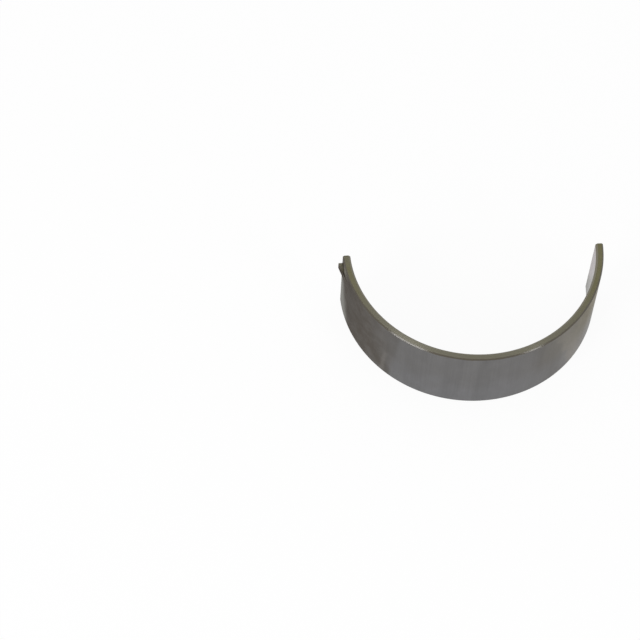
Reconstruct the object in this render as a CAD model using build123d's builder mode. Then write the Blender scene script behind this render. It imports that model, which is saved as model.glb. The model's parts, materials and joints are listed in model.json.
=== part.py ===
from build123d import *

import os
from math import cos, degrees, pi, radians, sin

# Half shell of a plain bearing, the kind that lines the big end of a connecting rod.
# It is one strip of steel-backed bearing metal, bent to a half round.
# Z runs along the axis of the bore, with Z = 0 halfway between the side faces.
# It lies on its lower side face. The back bulges towards -Y, and the joint faces are at -X and +X.

# Driving dimensions, in millimetres
housing_bore = 50.0  # bore of the rod that the shell is pressed into
wall = 1.5
width = 16.3  # between the two side faces
free_spread = 0.95  # how much wider than the housing the free shell stands
crush_height = 0.03  # extra length that loads each joint face when the cap is bolted down
bore_chamfer = 0.4  # at both side faces, for the fillet of the crankpin
back_chamfer = 0.25
joint_chamfer = 0.15  # along both axial edges of each joint face
tang_height = 0.8  # how far the locating tang stands out of the back
tang_run = 4.5  # along the back, from full height down to nothing
tang_width = 1.5  # along the axis
tang_to_side = 2.65  # from the tang to the upper side face
tang_edge_radius = 0.15

# The free shell keeps the length of its back, so its wider arc turns through less than 180 degrees
back_radius = (housing_bore + free_spread) / 2
bore_radius = back_radius - wall
back_length = pi * housing_bore / 2 + 2 * crush_height
arc_angle = degrees(back_length / back_radius)

# The arc is centred on -Y, and runs from the joint face with the tang at -X to the other one
crown_direction = 270.0
tang_end_direction = crown_direction - arc_angle / 2
tang_base = width / 2 - tang_to_side - tang_width
tang_root_radius = back_radius - wall / 2  # in the middle of the wall, which the tang grows out of
nick_overrun = wall  # how far the cut for the nick runs past the joint face, and into the open bore


def plan_point(radius, along):
    """Point in plan, at a radius, and a distance along the back from the joint face with the tang."""
    direction = radians(tang_end_direction) + along / back_radius
    return (radius * cos(direction), radius * sin(direction))


tang_end = Plane(
    origin=(0, 0, 0),
    x_dir=plan_point(1, 0) + (0,),
    z_dir=(plan_point(1, 0)[1], -plan_point(1, 0)[0], 0),
)

with BuildPart() as bearing_shell:
    # Wall section at the joint face, turned about the axis of the bore
    with BuildSketch(tang_end) as section:
        with Locations((bore_radius, 0)):
            Rectangle(wall, width, align=(Align.MIN, Align.CENTER))
        chamfer(section.vertices().group_by(Axis.X)[0], bore_chamfer)
        chamfer(section.vertices().group_by(Axis.X)[-1], back_chamfer)
    revolve(axis=Axis.Z, revolution_arc=arc_angle)
    chamfer(bearing_shell.edges().filter_by(Axis.Z), joint_chamfer)

    # Locating tang: a strip of the wall sheared at both sides and pushed outwards
    with BuildPart() as tang:
        with BuildSketch(Plane.XY.offset(tang_base)) as tang_profile:
            with BuildLine():
                Polyline(
                    plan_point(tang_root_radius, 0),
                    plan_point(back_radius + tang_height, 0),
                    plan_point(back_radius, tang_run),
                    plan_point(tang_root_radius, tang_run),
                    close=True,
                )
            make_face()
        extrude(amount=tang_width)
        ramp_edges = tang.edges().group_by(SortBy.LENGTH)[-1]
        fillet(ramp_edges, tang_edge_radius)

    # The same push leaves a nick of the same depth in the bore, behind the tang
    with BuildSketch(Plane.XY.offset(tang_base)) as nick_profile:
        with BuildLine():
            Polyline(
                plan_point(bore_radius - nick_overrun, -nick_overrun),
                plan_point(bore_radius + tang_height, -nick_overrun),
                plan_point(bore_radius + tang_height, 0),
                plan_point(bore_radius, tang_run),
                plan_point(bore_radius - nick_overrun, tang_run),
                close=True,
            )
        make_face()
    extrude(amount=tang_width, mode=Mode.SUBTRACT)

bearing_shell.part.label = "bearing_shell"

os.makedirs("parts", exist_ok=True)
export_step(bearing_shell.part, "parts/bearing_shell.step")
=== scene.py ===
import json
from math import atan2, cos, hypot, pi, radians, sin

import bmesh
import bpy
from bpy.props import FloatProperty, FloatVectorProperty, IntProperty, PointerProperty
from mathutils import Matrix, Vector


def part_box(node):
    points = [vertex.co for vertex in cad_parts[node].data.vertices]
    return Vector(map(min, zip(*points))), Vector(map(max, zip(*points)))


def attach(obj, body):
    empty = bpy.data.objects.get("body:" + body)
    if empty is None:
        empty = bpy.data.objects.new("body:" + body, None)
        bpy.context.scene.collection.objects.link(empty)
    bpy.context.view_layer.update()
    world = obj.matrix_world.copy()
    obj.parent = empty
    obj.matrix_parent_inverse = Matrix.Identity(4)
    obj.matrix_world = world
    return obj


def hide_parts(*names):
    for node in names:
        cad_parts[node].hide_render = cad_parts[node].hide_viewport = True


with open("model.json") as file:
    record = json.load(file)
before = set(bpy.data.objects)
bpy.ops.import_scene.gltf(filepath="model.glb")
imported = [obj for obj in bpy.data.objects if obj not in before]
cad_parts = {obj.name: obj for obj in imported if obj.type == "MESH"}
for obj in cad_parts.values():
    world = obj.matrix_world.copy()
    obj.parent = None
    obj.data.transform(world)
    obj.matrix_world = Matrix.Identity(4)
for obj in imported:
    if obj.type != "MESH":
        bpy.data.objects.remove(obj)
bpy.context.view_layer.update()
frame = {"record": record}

bl_info = {
    "name": "Engine Bearing Shell",
    "version": (1, 0, 0),
    "blender": (4, 5, 0),
    "location": "3D View > Sidebar > Bearing",
    "description": "Half shell of a plain bearing, with its pressed tang, on a plain studio floor",
    "category": "Add Mesh",
}

MM = 0.001
NODE = "bearing_shell"
BODY = "root"

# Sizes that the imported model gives
journal = next(mount for mount in frame["record"]["mounts"] if mount["name"] == "journal_bore")
low_corner, high_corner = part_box(NODE)

# Mesh
SLACK = 0.002 * MM  # by which lengths that are meant to be the same may differ
PATCH_SLACK = 0.02 * MM  # the same between the middle of a flat face and the round wall that it's part of
MERGE_DISTANCE = 0.001 * MM
SHARP_ANGLE = radians(25)  # from which an edge is rounded
SMOOTH_ANGLE = radians(35)  # up to which faces are shaded as one
ROUNDING_SEGMENTS = 3
LARGE_FACES_ONLY = 100  # weight at which only the large faces beside a rounding set its shading

# Zones of the finish
FACING = 0.9  # least part of its normal along a direction, for a face that looks that way
SLOPED = 0.3  # the same, for a face of a chamfer
PLAIN_FACE_CORNERS = 8  # most corners of a face that isn't a joint face
SHEARED_DEPTH = 0.5 * MM  # least distance from the side faces to the faces that the punch sheared

# Patterns
SEED_STEP = 10.0  # between one noise and the next
NOISE_ROUGHNESS = 0.55
WHITE = (1.0, 1.0, 1.0, 1.0)


def length_property(name, description, default):
    """Setting for a length, in metres."""
    return FloatProperty(name=name, description=description, default=default, unit="LENGTH", precision=6)


def angle_property(name, description, default):
    """Setting for an angle, given here in degrees."""
    return FloatProperty(name=name, description=description, default=radians(default), unit="ROTATION")


def colour_property(name, description, default):
    """Setting for a linear colour."""
    return FloatVectorProperty(name=name, description=description, default=default, subtype="COLOR", size=3,
                               min=0, max=1)


def power_property(name, description, default):
    """Setting for the power of a lamp, in watts."""
    return FloatProperty(name=name, description=description, default=default, min=0, unit="POWER")


def share_property(name, description, default):
    """Setting from 0 to 1."""
    return FloatProperty(name=name, description=description, default=default, min=0, max=1, subtype="FACTOR")


class ShellSizes(bpy.types.PropertyGroup):
    """Sizes of the bearing shell."""

    bore_radius: length_property("Bore Radius", "Radius of the free shell's bore",
                                 journal["dims"]["r_mm"] * MM)
    wall: length_property("Wall", "Thickness of the wall", 1.5 * MM)
    width: length_property("Width", "Between the two side faces", high_corner.z - low_corner.z)
    tang_end: angle_property("Tang End", "Direction of the joint face with the tang", 181.6106)
    arc: angle_property("Arc", "Angle that the shell turns through", 176.7787)
    steps: IntProperty(name="Steps", description="Steps in the arc", default=227, min=60, max=600)
    bore_chamfer: length_property("Bore Chamfer", "Between the bore and the side faces", 0.4 * MM)
    back_chamfer: length_property("Back Chamfer", "Between the back and the side faces", 0.25 * MM)
    joint_rounding: length_property("Joint Rounding", "Radius at the edges of the joint faces", 0.15 * MM)
    edge_rounding: length_property("Edge Rounding", "Radius at all the other edges", 0.05 * MM)
    tang_height: length_property("Tang Height", "How far the tang is pushed out", 0.8 * MM)
    tang_run: length_property("Tang Run", "Along the back, from full height down to nothing", 4.5 * MM)
    tang_width: length_property("Tang Width", "Width of the tang along the axis", 1.5 * MM)
    tang_to_side: length_property("Tang to Side", "From the tang to the upper side face", 2.65 * MM)


class ShellFinish(bpy.types.PropertyGroup):
    """Colours of the bearing shell."""

    back: colour_property("Back", "Tin-flashed steel of the back", (0.147, 0.145, 0.146))
    back_low: colour_property("Back Below", "Slightly bluer tin lower on the back", (0.160, 0.160, 0.166))
    rim: colour_property("Back at the Rim", "Share of the shine that the back keeps in a flat view",
                         (0.745, 0.73, 0.70))
    rim_high: colour_property("Upper Back at the Rim", "The same, high on the half without the tang",
                              (0.66, 0.612, 0.49))
    # Brownish colour: on the half with the tang it is painted dark reflection of a dark object beside the
    # shell; it also darkens the band, the tang's ramp and the sheared sides
    stain_and_dark_reflection: colour_property("Back Stain", "Brownish stain on the half with the tang", (0.078, 0.068, 0.059))
    # Greyer patches in the painted dark reflection
    dark_reflection_grey: colour_property("Greyer Stain", "Greyer patches in the stain", (0.108, 0.100, 0.093))
    # Dims the shine in the painted dark reflection and on the tang
    stain_and_dark_reflection_rim: colour_property("Stain at the Rim", "Share of the shine that the stain keeps in a flat view",
                               (0.32, 0.30, 0.28))
    pale_end: colour_property("Pale End", "Greenish grey below the tang", (0.190, 0.193, 0.176))
    # Painted highlight where the light from the right falls on the back; also tints the paler streak at the
    # stain's border
    rub_and_painted_highlight: colour_property("Rubbed Back", "Paler patch on the other half", (0.200, 0.189, 0.179))
    warm: colour_property("Warm Back", "Warmer tin in the upper part of the same half", (0.150, 0.138, 0.112))
    side: colour_property("Side Faces", "Turned side faces", (0.101, 0.092, 0.053))
    side_end: colour_property("Side Face Ends", "Side faces near the joint faces", (0.097, 0.086, 0.023))
    back_edge: colour_property("Back Chamfer", "Narrow chamfer at the back", (0.031, 0.021, 0.004))
    bore_edge: colour_property("Bore Chamfer", "Wider chamfer at the bore", (0.115, 0.101, 0.058))
    lining: colour_property("Lining", "Bearing metal in the bore", (0.278, 0.270, 0.248))
    # Painted dark reflection in the lower part of the bore
    lining_low_dark_reflection: colour_property("Lining Below", "Bearing metal near the lower side face",
                                (0.205, 0.200, 0.180))
    # Painted pale reflection in the upper bore near the joint face without the tang
    lining_end_pale_reflection: colour_property("Lining End", "Paler bearing metal near the joint face without the tang",
                                (0.378, 0.345, 0.348))
    joint: colour_property("Joint Faces", "Broached joint faces", (0.240, 0.232, 0.210))
    sheared: colour_property("Sheared Steel", "Sides of the tang and of its nick", (0.128, 0.117, 0.085))
    # Painted shadow where the sheared sides run out
    painted_crack_shadow: colour_property("Crack", "Where the sheared sides run out", (0.028, 0.023, 0.017))
    # Painted highlight on the wall beside and over the tang
    painted_tang_highlight: colour_property("Burnished Edge", "Wall that the punch rubbed beside the tang",
                               (0.215, 0.200, 0.160))


class StageSettings(bpy.types.PropertyGroup):
    """Camera, lamps and floor."""

    camera_turn: angle_property("Camera Turn", "Direction of the camera, from the crown of the back", -6.56)
    camera_tilt: angle_property("Camera Elevation", "Height of the camera above the floor", 59.3664)
    camera_roll: angle_property("Camera Roll", "Turn of the camera about its own axis", 2.8017)
    camera_distance: length_property("Camera Distance", "From the camera to the spot it looks at", 460.9 * MM)
    look_at: FloatVectorProperty(name="Look At", description="Spot on the floor at the middle of the picture",
                                 default=(-29.006 * MM, -8.678 * MM, 0), subtype="XYZ", unit="LENGTH", size=3)
    lens: FloatProperty(name="Lens", description="Focal length in millimetres", default=130.548)
    surround: FloatProperty(name="Surround", description="Light from the white surround", default=0.6, min=0)
    left_power: power_property("Left Lamp", "Power of the wide lamp at the left", 1.7)
    right_power: power_property("Right Lamp", "Power of the narrow lamp at the right", 0.55)
    top_power: power_property("Top Lamp", "Power of the large lamp overhead", 1.2)
    floor_glow: share_property("Floor Glow", "Share of the floor that shows plain white to the camera", 0.93)
    floor: colour_property("Floor", "Pale floor", (0.85, 0.85, 0.85))
    floor_size: length_property("Floor Size", "Side of the floor", 6.0)


def add_node(tree, kind, inputs, **settings):
    """New node in a node tree. An input takes a value, or is linked where it is given an output."""
    node = tree.nodes.new(kind)
    for key, value in settings.items():
        setattr(node, key, value)
    for key, value in inputs.items():
        if isinstance(value, bpy.types.NodeSocket):
            tree.links.new(value, node.inputs[key])
        else:
            node.inputs[key].default_value = value
    return node


def calculate(tree, operation, first, second=0.0):
    """Result of one sum on two numbers."""
    return add_node(tree, "ShaderNodeMath", {0: first, 1: second}, operation=operation).outputs[0]


class Finish:
    """Material of one zone of the shell. Its patterns follow the strip that the shell was bent from.

    All its places are in millimetres.
    """

    def __init__(self, name, shape):
        self.material = bpy.data.materials.new(name)
        self.material.use_nodes = True
        self.tree = self.material.node_tree
        self.tree.nodes.clear()
        place = self.node("ShaderNodeTexCoord", {}).outputs["Object"]
        parts = self.node("ShaderNodeSeparateXYZ", {0: place}).outputs
        # Measured from the crown, which faces -Y, so that the angle jumps only at the open side
        from_crown = self.sum("ARCTAN2", parts["X"], self.sum("MULTIPLY", parts["Y"], -1.0))
        squares = self.sum("ADD", self.sum("POWER", parts["X"], 2.0), self.sum("POWER", parts["Y"], 2.0))
        # Around from the crown, along the axis, and out from the axis
        self.around = self.sum("MULTIPLY", from_crown, shape.back / MM)
        self.along = self.sum("DIVIDE", parts["Z"], MM)
        self.out = self.sum("DIVIDE", self.sum("SQRT", squares), MM)
        self.half = shape.sizes.arc * shape.back / MM / 2
        self.from_end = self.sum("ADD", self.around, self.half)
        # Lines that run around the axis draw the highlights out away from it
        self.outwards = self.node("ShaderNodeCombineXYZ", {"X": parts["X"], "Y": parts["Y"]}).outputs[0]
        self.seed = 0.0

    def node(self, kind, inputs, **settings):
        """New node in this material."""
        return add_node(self.tree, kind, inputs, **settings)

    def sum(self, operation, first, second=0.0):
        """Result of one sum on two numbers."""
        return calculate(self.tree, operation, first, second)

    def product(self, first, *others):
        """Product of two or more numbers."""
        for other in others:
            first = self.sum("MULTIPLY", first, other)
        return first

    def shifted(self, place, other, share):
        """A place, shifted by a share of another number."""
        return self.sum("ADD", place, self.sum("MULTIPLY", other, share))

    def marks(self, sizes, detail=3.0):
        """Noise around zero, with spots of the given sizes around, along and out."""
        self.seed += SEED_STEP
        parts = (self.around, self.along, self.out)
        scaled = [self.sum("DIVIDE", part, size) for part, size in zip(parts, sizes)]
        place = self.node("ShaderNodeCombineXYZ", dict(enumerate(scaled))).outputs[0]
        noise = self.node("ShaderNodeTexNoise",
                          {"Vector": place, "W": self.seed, "Scale": 1.0, "Detail": detail,
                           "Roughness": NOISE_ROUGHNESS},
                          noise_dimensions="4D")
        return self.sum("SUBTRACT", noise.outputs["Fac"], 0.5)

    def ramp(self, value, low, high, low_result=0.0, high_result=1.0):
        """Smooth change from one number to another as the value goes from low to high."""
        limits = {"Value": value, "From Min": low, "From Max": high,
                  "To Min": low_result, "To Max": high_result}
        return self.node("ShaderNodeMapRange", limits, interpolation_type="SMOOTHSTEP").outputs["Result"]

    def fall(self, value, low, high, least=0.0):
        """Smooth change from 1 to the least number as the value goes from low to high."""
        return self.ramp(value, low, high, low_result=1.0, high_result=least)

    def mix(self, share, first, second):
        """Colour that goes from the first to the second as the share goes from 0 to 1."""
        colours = [c if isinstance(c, bpy.types.NodeSocket) else (*c, 1.0) for c in (first, second)]
        inputs = {0: share, 6: colours[0], 7: colours[1]}
        return self.node("ShaderNodeMix", inputs, data_type="RGBA").outputs[2]

    def tone(self, colour, *changes):
        """Colour made lighter or darker, by noises that each come with a strength."""
        level = 1.0
        for noise, strength in changes:
            level = self.shifted(level, noise, strength)
        return self.node("ShaderNodeVectorMath", {0: colour, "Scale": level}, operation="SCALE").outputs[0]

    def finish(self, colour, metallic, roughness, relief, depth, rim=WHITE, brushed=0.0, ior=1.5):
        """Shader of the finish. Its relief is a noise, with its depth in millimetres.

        The rim is the tint of its shine in a flat view. A brushed finish has lines around the axis.
        """
        bump = self.node("ShaderNodeBump", {"Height": relief, "Strength": 1.0, "Distance": depth * MM})
        shader = self.node("ShaderNodeBsdfPrincipled",
                           {"Base Color": colour, "Metallic": metallic, "Roughness": roughness,
                            "Specular Tint": rim, "IOR": ior, "Normal": bump.outputs["Normal"]})
        if brushed:
            shader.inputs["Anisotropic"].default_value = brushed
            self.tree.links.new(self.outwards, shader.inputs["Tangent"])
        self.node("ShaderNodeOutputMaterial", {"Surface": shader.outputs[0]})
        return self.material


def tin_flashed_back(colours, shape):
    """Dull back, with soft bands and fine scratches along the axis, a brownish stain that is painted dark
    reflection, a paler patch that is painted highlight, and a painted highlight beside the tang.
    """
    skin = Finish("tin_flashed_back", shape)
    drift = skin.marks((6.0, 5.0, 5.0), detail=4.0)
    patches = skin.marks((3.6, 2.8, 3.0), detail=3.0)
    low = skin.fall(skin.shifted(skin.along, drift, 12.0), -5.0, 2.0)
    colour = skin.mix(low, colours.back, colours.back_low)

    # Half without the tang: a darker band, then a paler patch that is a painted highlight from the light on
    # the right, both leaning, and warmer above
    leaning = skin.shifted(skin.shifted(skin.around, drift, 7.0), skin.along, 0.38)
    dark_band = skin.product(skin.ramp(leaning, 9.0, 13.0), skin.fall(leaning, 14.0, 18.0))
    rub_and_painted_highlight = skin.product(skin.ramp(leaning, 16.8, 18.4), skin.fall(leaning, 19.5, 24.0, least=0.1))
    high = skin.product(skin.ramp(skin.around, 9.0, 16.0), skin.ramp(skin.along, -5.0, 4.0))
    dark_band_share, warm_share = 0.2, 0.5
    colour = skin.mix(skin.product(dark_band, dark_band_share), colour, colours.stain_and_dark_reflection)
    colour = skin.mix(rub_and_painted_highlight, colour, colours.rub_and_painted_highlight)
    colour = skin.mix(skin.product(high, warm_share), colour, colours.warm)

    # Half with the tang: a brownish stain that is painted dark reflection of a dark object beside the shell,
    # deepest near the tang, and a paler streak in the lower part of its border
    border = skin.shifted(skin.shifted(skin.around, skin.along, -0.12), drift, 1.5)
    dark_reflection_share = skin.fall(border, -19.0, -17.4)
    from_tang = skin.shifted(skin.shifted(skin.around, skin.along, 0.25), drift, 5.0)
    deep = skin.fall(from_tang, -24.5, -18.0, least=0.45)
    stain_and_dark_reflection = skin.mix(skin.ramp(patches, -0.14, 0.14), colours.stain_and_dark_reflection, colours.dark_reflection_grey)
    colour = skin.mix(skin.product(dark_reflection_share, deep), colour, stain_and_dark_reflection)
    streak = skin.product(skin.ramp(border, -21.2, -20.4), skin.fall(border, -20.2, -19.4),
                          skin.ramp(skin.along, -2.0, 1.0, low_result=0.35, high_result=0.0))
    colour = skin.mix(streak, colour, colours.rub_and_painted_highlight)

    # Around the tang: paler below it, a painted highlight beside and over it, and dull on its ramp
    pale = skin.fall(skin.shifted(skin.shifted(skin.from_end, skin.along, 0.4), drift, 4.0), 0.5, 5.2)
    pale = skin.product(pale, skin.fall(skin.along, 0.0, 7.0, least=0.3))
    from_base = skin.sum("SUBTRACT", skin.along, shape.tang_base / MM)
    at_tang = skin.product(skin.ramp(from_base, 0.0, 2.5, low_result=0.5), skin.ramp(from_base, -0.4, 0.1))
    along_tang = skin.shifted(skin.from_end, drift, 3.0)
    painted_tang_highlight = skin.product(at_tang, skin.ramp(along_tang, 0.5, 3.0),
                             skin.ramp(along_tang, 2.4, 4.8, low_result=0.8, high_result=0.0))
    colour = skin.mix(pale, colour, colours.pale_end)
    colour = skin.mix(painted_tang_highlight, colour, colours.painted_tang_highlight)
    back, ramp_share = shape.back / MM, 0.9
    on_tang = skin.ramp(skin.out, back + 0.05, back + 0.3)
    colour = skin.mix(skin.product(on_tang, ramp_share), colour, colours.stain_and_dark_reflection)

    # Bands, scratches and clouds all over
    bands = skin.marks((3.2, 60.0, 60.0), detail=2.0)
    scratches = skin.marks((0.22, 10.0, 10.0), detail=3.0)
    clouds = skin.marks((1.8, 2.6, 2.0), detail=4.0)
    colour = skin.tone(colour, (bands, 0.40), (scratches, 0.25), (clouds, 0.40))

    # Share of the shine that is left in a flat view: little in the stain, where the dimming is part of the
    # painted dark reflection, and on the tang
    near_end = skin.fall(skin.around, -skin.half, -18.0)
    pale_and_highlit = skin.sum("MAXIMUM", pale, painted_tang_highlight)
    dulled = skin.product(dark_reflection_share, near_end, skin.fall(pale_and_highlit, 0.0, 1.0, least=0.3))
    dulled = skin.sum("MAXIMUM", dulled, on_tang)
    upper_end = skin.product(skin.ramp(skin.along, -9.0, 7.0), skin.ramp(skin.around, 16.0, 26.0))
    rim = skin.mix(upper_end, colours.rim, colours.rim_high)
    rim = skin.mix(dulled, rim, colours.stain_and_dark_reflection_rim)
    return skin.finish(colour, metallic=0.85, roughness=skin.shifted(0.38, clouds, 0.25),
                       relief=scratches, depth=0.006, rim=rim)


def turned(name, shape, middle, end, metallic, roughness, depth, grain=1.0, ior=2.0):
    """Turned metal, with fine lines around the axis, of another tint near the joint faces.

    Its grain is how strong the marks in it are.
    """
    skin = Finish(name, shape)
    lines = skin.marks((35.0, 0.14, 0.14))
    clouds = skin.marks((2.6, 1.8, 1.0))
    # The middle tint is centred a little nearer the tang than the crown is
    from_middle = skin.sum("ABSOLUTE", skin.sum("ADD", skin.around, 3.0))
    tinted = skin.product(skin.ramp(from_middle, skin.half * 0.5, skin.half * 0.9),
                          skin.ramp(skin.from_end, 0.5, 4.0, low_result=0.3))
    colour = skin.mix(tinted, middle, end)
    colour = skin.tone(colour, (lines, 0.35 * grain), (clouds, 0.30))
    return skin.finish(colour, metallic, skin.shifted(roughness, clouds, 0.2 * grain),
                       relief=lines, depth=depth, brushed=1.0, ior=ior)


def bored_lining(colours, shape):
    """Soft grey lining, with fine boring lines around the axis and polished spots, with a painted pale
    reflection high near one end and a painted dark reflection low down.
    """
    skin = Finish("bored_lining", shape)
    lines = skin.marks((30.0, 0.12, 30.0))
    spots = skin.marks((3.0, 2.2, 3.0), detail=4.0)
    leaning = skin.shifted(skin.shifted(skin.along, skin.around, 1.4), spots, 2.0)
    # Painted pale reflection high near the joint face without the tang
    colour = skin.mix(skin.ramp(leaning, 49.0, 53.0), colours.lining, colours.lining_end_pale_reflection)
    # Painted dark reflection low in the bore
    low = skin.fall(skin.shifted(skin.along, spots, 2.0), -7.0, -1.0)
    colour = skin.mix(low, colour, colours.lining_low_dark_reflection)
    colour = skin.tone(colour, (lines, 0.20), (spots, 0.12))
    return skin.finish(colour, metallic=0.8, roughness=skin.shifted(0.36, spots, 0.1),
                       relief=lines, depth=0.003)


def sheared_steel(colours, shape):
    """Torn steel, with streaks in the direction that the tang was pushed, and a painted shadow where the
    sheared sides run out.
    """
    skin = Finish("sheared_steel", shape)
    streaks = skin.marks((0.15, 0.5, 1.2), detail=4.0)
    patches = skin.marks((0.6, 0.6, 0.6), detail=2.0)
    colour = skin.mix(skin.ramp(patches, -0.1, 0.15), colours.sheared, colours.side)
    # Painted shadow in the crack where the sheared sides run out
    colour = skin.mix(skin.ramp(skin.from_end, 1.3, 2.6), colour, colours.painted_crack_shadow)
    colour = skin.mix(skin.ramp(skin.from_end, 2.9, 3.7), colour, colours.stain_and_dark_reflection)
    colour = skin.tone(colour, (streaks, 0.9))
    return skin.finish(colour, metallic=0.6, roughness=skin.sum("ADD", 0.5, streaks),
                       relief=streaks, depth=0.02)


def broached_joint(colours, shape):
    """Broached joint faces, with fine lines along the axis."""
    skin = Finish("broached_joint_face", shape)
    lines = skin.marks((5.0, 15.0, 0.10))
    clouds = skin.marks((2.0, 2.2, 1.0))
    colour = skin.mix(skin.ramp(clouds, -0.2, 0.6), colours.joint, colours.side)
    colour = skin.tone(colour, (lines, 0.5), (clouds, 0.2))
    return skin.finish(colour, metallic=0.75, roughness=skin.shifted(0.36, clouds, 0.2),
                       relief=lines, depth=0.006)


def pick(kind, test):
    """In edit mode, selects only the vertices, edges or faces that pass a test."""
    bpy.ops.mesh.select_mode(type=kind)
    bpy.ops.mesh.select_all(action="DESELECT")
    data = bpy.context.object.data
    mesh = bmesh.from_edit_mesh(data)
    mesh.normal_update()
    parts = {"VERT": mesh.verts, "EDGE": mesh.edges, "FACE": mesh.faces}[kind]
    found = [part for part in parts if test(part)]
    if not found:
        raise RuntimeError("nothing on the shell passes this test")
    for part in found:
        part.select_set(True)
    bmesh.update_edit_mesh(data)


def near(value, target, slack=SLACK):
    """Whether a length is at its target, give or take the slack."""
    return abs(value - target) < slack


def radius(point):
    """Distance of a point from the axis."""
    return hypot(point.x, point.y)


class ShellShape:
    """Places on the shell, from its sizes. A turn is an angle from the joint face with the tang."""

    def __init__(self, sizes):
        self.sizes = sizes
        self.bore = sizes.bore_radius
        self.back = sizes.bore_radius + sizes.wall
        self.step = sizes.arc / sizes.steps
        self.tang_columns = round(sizes.tang_run / (self.step * self.back))
        self.tang_top = sizes.width / 2 - sizes.tang_to_side
        self.tang_base = self.tang_top - sizes.tang_width

    def radial(self, turn):
        """Outward direction at a turn."""
        angle = self.sizes.tang_end + turn
        return Vector((cos(angle), sin(angle), 0))

    def turn(self, point):
        """Turn at which a point lies."""
        return atan2(point.y, point.x) % (2 * pi) - self.sizes.tang_end

    def at_turn(self, point, turn):
        """Whether a point of the mesh lies in the plane at a turn, to a quarter of a step."""
        return abs(self.turn(point) - turn) < self.step / 4

    def all_at_turn(self, part, turn):
        """Whether an edge or a face lies in the plane at a turn."""
        return all(self.at_turn(vertex.co, turn) for vertex in part.verts)

    def push(self, wall_radius, column):
        """How far the tang stands out in one column, on its straight run from full height down to nothing."""
        start = self.radial(0) * (wall_radius + self.sizes.tang_height)
        end = self.radial(self.tang_columns * self.step) * wall_radius
        out, run = self.radial(column * self.step), end - start
        return (start.x * run.y - start.y * run.x) / (out.x * run.y - out.y * run.x) - wall_radius

    def in_tang_rows(self, point):
        """Whether a point is no lower and no higher than the tang."""
        return self.tang_base - SLACK < point.z < self.tang_top + SLACK

    def in_tang_patch(self, face, wall_radius):
        """Whether a face of the plain wall, at a radius, is one that the tang pushes."""
        centre = face.calc_center_median()
        in_run = self.turn(centre) < self.tang_columns * self.step
        return in_run and self.in_tang_rows(centre) and near(radius(centre), wall_radius, PATCH_SLACK)


def make_section(shape):
    """Outline of the wall's section, at the joint face with the tang."""
    sizes = shape.sizes
    middle = shape.radial(0) * (shape.bore + shape.back) / 2
    bpy.ops.mesh.primitive_plane_add(size=1, location=middle, rotation=(pi / 2, 0, sizes.tang_end))
    strip = bpy.context.object
    strip.name = strip.data.name = "shell_strip"
    strip.scale = (sizes.wall, sizes.width, 1)
    bpy.ops.object.transform_apply(location=True, rotation=True, scale=True)
    bpy.ops.object.mode_set(mode="EDIT")
    for height in (shape.tang_base, shape.tang_top):
        bpy.ops.mesh.select_all(action="SELECT")
        bpy.ops.mesh.bisect(plane_co=(0, 0, height), plane_no=(0, 0, 1))
    for wall_radius, chamfer in ((shape.bore, sizes.bore_chamfer), (shape.back, sizes.back_chamfer)):
        pick("VERT", lambda v: near(radius(v.co), wall_radius) and near(abs(v.co.z), sizes.width / 2))
        bpy.ops.mesh.bevel(offset=chamfer, offset_type="OFFSET", affect="VERTICES", segments=1)
    bpy.ops.mesh.select_all(action="SELECT")
    bpy.ops.mesh.dissolve_faces(use_verts=False)
    bpy.ops.mesh.delete(type="ONLY_FACE")
    return strip


def push_patch(shape, wall_radius):
    """Pushes the patch of the wall that the tang is made of outwards, most at the joint face."""
    pick("FACE", lambda face: shape.in_tang_patch(face, wall_radius))
    bpy.ops.mesh.extrude_region_move(TRANSFORM_OT_translate={"value": (0, 0, 0)})
    mesh = bmesh.from_edit_mesh(bpy.context.object.data)
    mesh.verts.index_update()
    patch = {v.index for v in mesh.verts if v.select}
    for column in range(shape.tang_columns):
        turn = column * shape.step
        pick("VERT", lambda v: v.index in patch and shape.at_turn(v.co, turn))
        bpy.ops.transform.translate(value=shape.radial(turn) * shape.push(wall_radius, column))


def weigh_edges(shape):
    """Gives each sharp edge the share of the joint rounding that it's rounded by."""
    sizes = shape.sizes
    mesh = bmesh.from_edit_mesh(bpy.context.object.data)
    mesh.normal_update()
    weights = mesh.edges.layers.float.new("bevel_weight_edge")
    for edge in mesh.edges:
        if edge.calc_face_angle() < SHARP_ANGLE or not edge.is_convex:
            continue
        first, second = (vertex.co for vertex in edge.verts)
        axial = near(first.x, second.x) and near(first.y, second.y)
        if axial:
            edge[weights] = 1.0
        elif not shape.in_tang_rows((first + second) / 2):
            edge[weights] = sizes.edge_rounding / sizes.joint_rounding
    bmesh.update_edit_mesh(bpy.context.object.data)


def make_strip(shape):
    """The whole strip: section, arc, tang, nick and joint faces."""
    sizes = shape.sizes
    strip = make_section(shape)
    bpy.ops.mesh.select_all(action="SELECT")
    bpy.ops.mesh.spin(steps=sizes.steps, angle=sizes.arc, center=(0, 0, 0), axis=(0, 0, -1))
    for wall_radius in (shape.back, shape.bore):
        push_patch(shape, wall_radius)
    pick("FACE", lambda face: shape.all_at_turn(face, 0))
    bpy.ops.mesh.delete(type="FACE")
    bpy.ops.mesh.select_all(action="SELECT")
    bpy.ops.mesh.remove_doubles(threshold=MERGE_DISTANCE)
    for turn in (0, sizes.arc):
        pick("EDGE", lambda edge: edge.is_boundary and shape.all_at_turn(edge, turn))
        bpy.ops.mesh.edge_face_add()
    bpy.ops.mesh.select_all(action="SELECT")
    bpy.ops.mesh.normals_make_consistent(inside=False)
    weigh_edges(shape)
    bpy.ops.object.mode_set(mode="OBJECT")
    return strip


def assign(strip, material, test):
    """Gives a finish to the faces that pass a test."""
    strip.data.materials.append(material)
    strip.active_material_index = len(strip.data.materials) - 1
    pick("FACE", test)
    bpy.ops.object.material_slot_assign()


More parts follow.
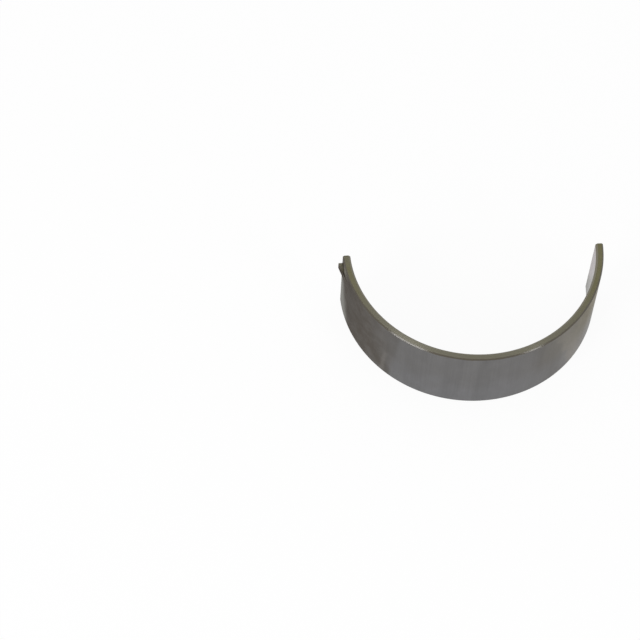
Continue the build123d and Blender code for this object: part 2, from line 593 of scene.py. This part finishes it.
def finish_strip(strip, shape, colours):
    """Gives every zone of the strip its own finish."""
    side = shape.sizes.width / 2

    def outwards(face):
        """Part of a face's normal that points away from the axis."""
        centre = face.calc_center_median()
        return face.normal.dot(Vector((centre.x, centre.y, 0)).normalized())

    def height(face):
        """Distance of a face from the middle of the width."""
        return abs(face.calc_center_median().z)

    def sloped(face):
        """Whether a face is part of a chamfer."""
        return SLOPED < abs(face.normal.z) < FACING

    bpy.ops.object.mode_set(mode="EDIT")
    assign(strip, tin_flashed_back(colours, shape), lambda face: outwards(face) > FACING)
    assign(strip, bored_lining(colours, shape), lambda face: outwards(face) < -FACING)
    assign(strip, turned("turned_side_face", shape, colours.side, colours.side_end,
                         metallic=0.3, roughness=0.52, depth=0.012),
           lambda face: abs(face.normal.z) > FACING and near(height(face), side))
    assign(strip, turned("back_chamfer", shape, colours.back_edge, colours.back_edge,
                         metallic=0.1, roughness=0.28, depth=0.0003, grain=0.2, ior=1.8),
           lambda face: sloped(face) and outwards(face) > SLOPED)
    assign(strip, turned("bore_chamfer", shape, colours.bore_edge, colours.bore_edge,
                         metallic=0.3, roughness=0.40, depth=0.001),
           lambda face: sloped(face) and outwards(face) < -SLOPED)
    assign(strip, broached_joint(colours, shape), lambda face: len(face.verts) > PLAIN_FACE_CORNERS)
    assign(strip, sheared_steel(colours, shape),
           lambda face: abs(face.normal.z) > FACING and height(face) < side - SHEARED_DEPTH)
    bpy.ops.object.mode_set(mode="OBJECT")


def round_edges(strip, sizes):
    """Rounds the weighted edges, and keeps the faces between them even in the light."""
    bevel = strip.modifiers.new("rounding", "BEVEL")
    bevel.limit_method = "WEIGHT"
    bevel.offset_type = "OFFSET"
    bevel.width = sizes.joint_rounding
    bevel.segments = ROUNDING_SEGMENTS
    bevel.use_clamp_overlap = False
    bpy.ops.object.modifier_apply(modifier=bevel.name)
    bpy.ops.object.shade_smooth_by_angle(angle=SMOOTH_ANGLE)
    weighted = strip.modifiers.new("even_shading", "WEIGHTED_NORMAL")
    weighted.keep_sharp = True
    weighted.weight = LARGE_FACES_ONLY
    bpy.ops.object.modifier_apply(modifier=weighted.name)


def seen_share(tree):
    """1 for what the camera sees, straight, in a gloss or through glass, and 0 for plain light."""
    path = add_node(tree, "ShaderNodeLightPath", {}).outputs
    glossy = calculate(tree, "MAXIMUM", path["Is Camera Ray"], path["Is Glossy Ray"])
    return calculate(tree, "MAXIMUM", glossy, path["Is Transmission Ray"])


def make_surround(settings):
    """White surround, which lights the shell more softly than it shows."""
    world = bpy.data.worlds.new("white_surround")
    world.use_nodes = True
    tree = world.node_tree
    tree.nodes.clear()
    strength = add_node(tree, "ShaderNodeMapRange",
                        {"Value": seen_share(tree), "To Min": settings.surround, "To Max": 1.0})
    background = add_node(tree, "ShaderNodeBackground",
                          {"Color": WHITE, "Strength": strength.outputs["Result"]})
    add_node(tree, "ShaderNodeOutputWorld", {"Surface": background.outputs[0]})
    bpy.context.scene.world = world


def make_floor(settings, height):
    """Pale floor, which shows nearly white and keeps the shell's soft shadow."""
    bpy.ops.mesh.primitive_plane_add(size=settings.floor_size, location=(0, 0, height))
    floor = bpy.context.object
    floor.name = floor.data.name = "floor"
    bpy.ops.object.transform_apply(location=True, rotation=False, scale=False)
    material = bpy.data.materials.new("pale_floor")
    material.use_nodes = True
    tree = material.node_tree
    tree.nodes.clear()
    pale = add_node(tree, "ShaderNodeBsdfDiffuse", {"Color": (*settings.floor, 1)})
    glow = add_node(tree, "ShaderNodeEmission", {"Color": WHITE, "Strength": 1.0})
    share = calculate(tree, "MULTIPLY", seen_share(tree), settings.floor_glow)
    mix = add_node(tree, "ShaderNodeMixShader", {0: share, 1: pale.outputs[0], 2: glow.outputs[0]})
    add_node(tree, "ShaderNodeOutputMaterial", {"Surface": mix.outputs[0]})
    floor.data.materials.append(material)


def add_lamp(name, power, floor_height, *, size, turn, elevation, distance):
    """Soft lamp that points at the shell. Its turn is from the crown's side, to the right."""
    out = Matrix.Rotation(turn, 3, "Z") @ Vector((0, -cos(elevation), sin(elevation)))
    bpy.ops.object.light_add(type="AREA", location=out * distance + Vector((0, 0, floor_height)),
                             rotation=(pi / 2 - elevation, 0, turn))
    lamp = bpy.context.object
    lamp.name = lamp.data.name = name
    lamp.data.energy = power
    lamp.data.shape = "RECTANGLE"
    lamp.data.size, lamp.data.size_y = size


def make_camera(settings, height):
    """Camera in the photograph's place."""
    around = Matrix.Rotation(settings.camera_turn, 3, "Z")
    away = Vector((0, -cos(settings.camera_tilt), sin(settings.camera_tilt)))
    place = around @ (Vector(settings.look_at) + away * settings.camera_distance)
    rolled = Matrix.Rotation(settings.camera_roll, 3, "Z")
    tilted = Matrix.Rotation(pi / 2 - settings.camera_tilt, 3, "X") @ rolled
    bpy.ops.object.camera_add(location=place + Vector((0, 0, height)), rotation=(around @ tilted).to_euler())
    camera = bpy.context.object
    camera.data.lens = settings.lens
    camera.data.clip_start = 10 * MM
    bpy.context.scene.camera = camera


class BEARING_OT_shell(bpy.types.Operator):
    """Makes the bearing shell and its finishes"""

    bl_idname = "bearing.shell"
    bl_label = "Bearing Shell"

    def execute(self, context):
        shape = ShellShape(context.scene.shell_sizes)
        bpy.ops.object.select_all(action="DESELECT")
        strip = make_strip(shape)
        finish_strip(strip, shape, context.scene.shell_finish)
        round_edges(strip, shape.sizes)
        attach(strip, BODY)
        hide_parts(NODE)
        return {"FINISHED"}


class BEARING_OT_stage(bpy.types.Operator):
    """Makes the floor, the lamps and the camera"""

    bl_idname = "bearing.stage"
    bl_label = "Studio Stage"

    def execute(self, context):
        settings = context.scene.stage_settings
        height = low_corner.z
        bpy.ops.object.select_all(action="DESELECT")
        context.scene.view_settings.view_transform = "Standard"
        make_surround(settings)
        make_floor(settings, height)
        add_lamp("left_lamp", settings.left_power, height,
                 size=(0.25, 0.28), turn=radians(-48), elevation=radians(27), distance=0.6)
        add_lamp("right_lamp", settings.right_power, height,
                 size=(0.11, 0.25), turn=radians(41), elevation=radians(27), distance=0.6)
        add_lamp("top_lamp", settings.top_power, height,
                 size=(0.7, 0.7), turn=radians(180), elevation=radians(75), distance=0.8)
        make_camera(settings, height)
        return {"FINISHED"}


class BEARING_PT_sidebar(bpy.types.Panel):
    """Sizes, colours and stage of the bearing shell"""

    bl_idname = "BEARING_PT_sidebar"
    bl_label = "Bearing Shell"
    bl_space_type = "VIEW_3D"
    bl_region_type = "UI"
    bl_category = "Bearing"

    def draw(self, context):
        parts = ((context.scene.shell_sizes, None), (context.scene.shell_finish, BEARING_OT_shell),
                 (context.scene.stage_settings, BEARING_OT_stage))
        for group, operator in parts:
            box = self.layout.box()
            for name in type(group).__annotations__:
                box.prop(group, name)
            if operator:
                box.operator(operator.bl_idname)


GROUPS = {"shell_sizes": ShellSizes, "shell_finish": ShellFinish, "stage_settings": StageSettings}
CLASSES = (*GROUPS.values(), BEARING_OT_shell, BEARING_OT_stage, BEARING_PT_sidebar)


def register():
    for kind in CLASSES:
        bpy.utils.register_class(kind)
    for name, group in GROUPS.items():
        setattr(bpy.types.Scene, name, PointerProperty(type=group))


def unregister():
    for name in GROUPS:
        delattr(bpy.types.Scene, name)
    for kind in reversed(CLASSES):
        bpy.utils.unregister_class(kind)


def main():
    register()
    bpy.ops.bearing.shell()
    bpy.ops.bearing.stage()


if __name__ == "__main__":
    main()
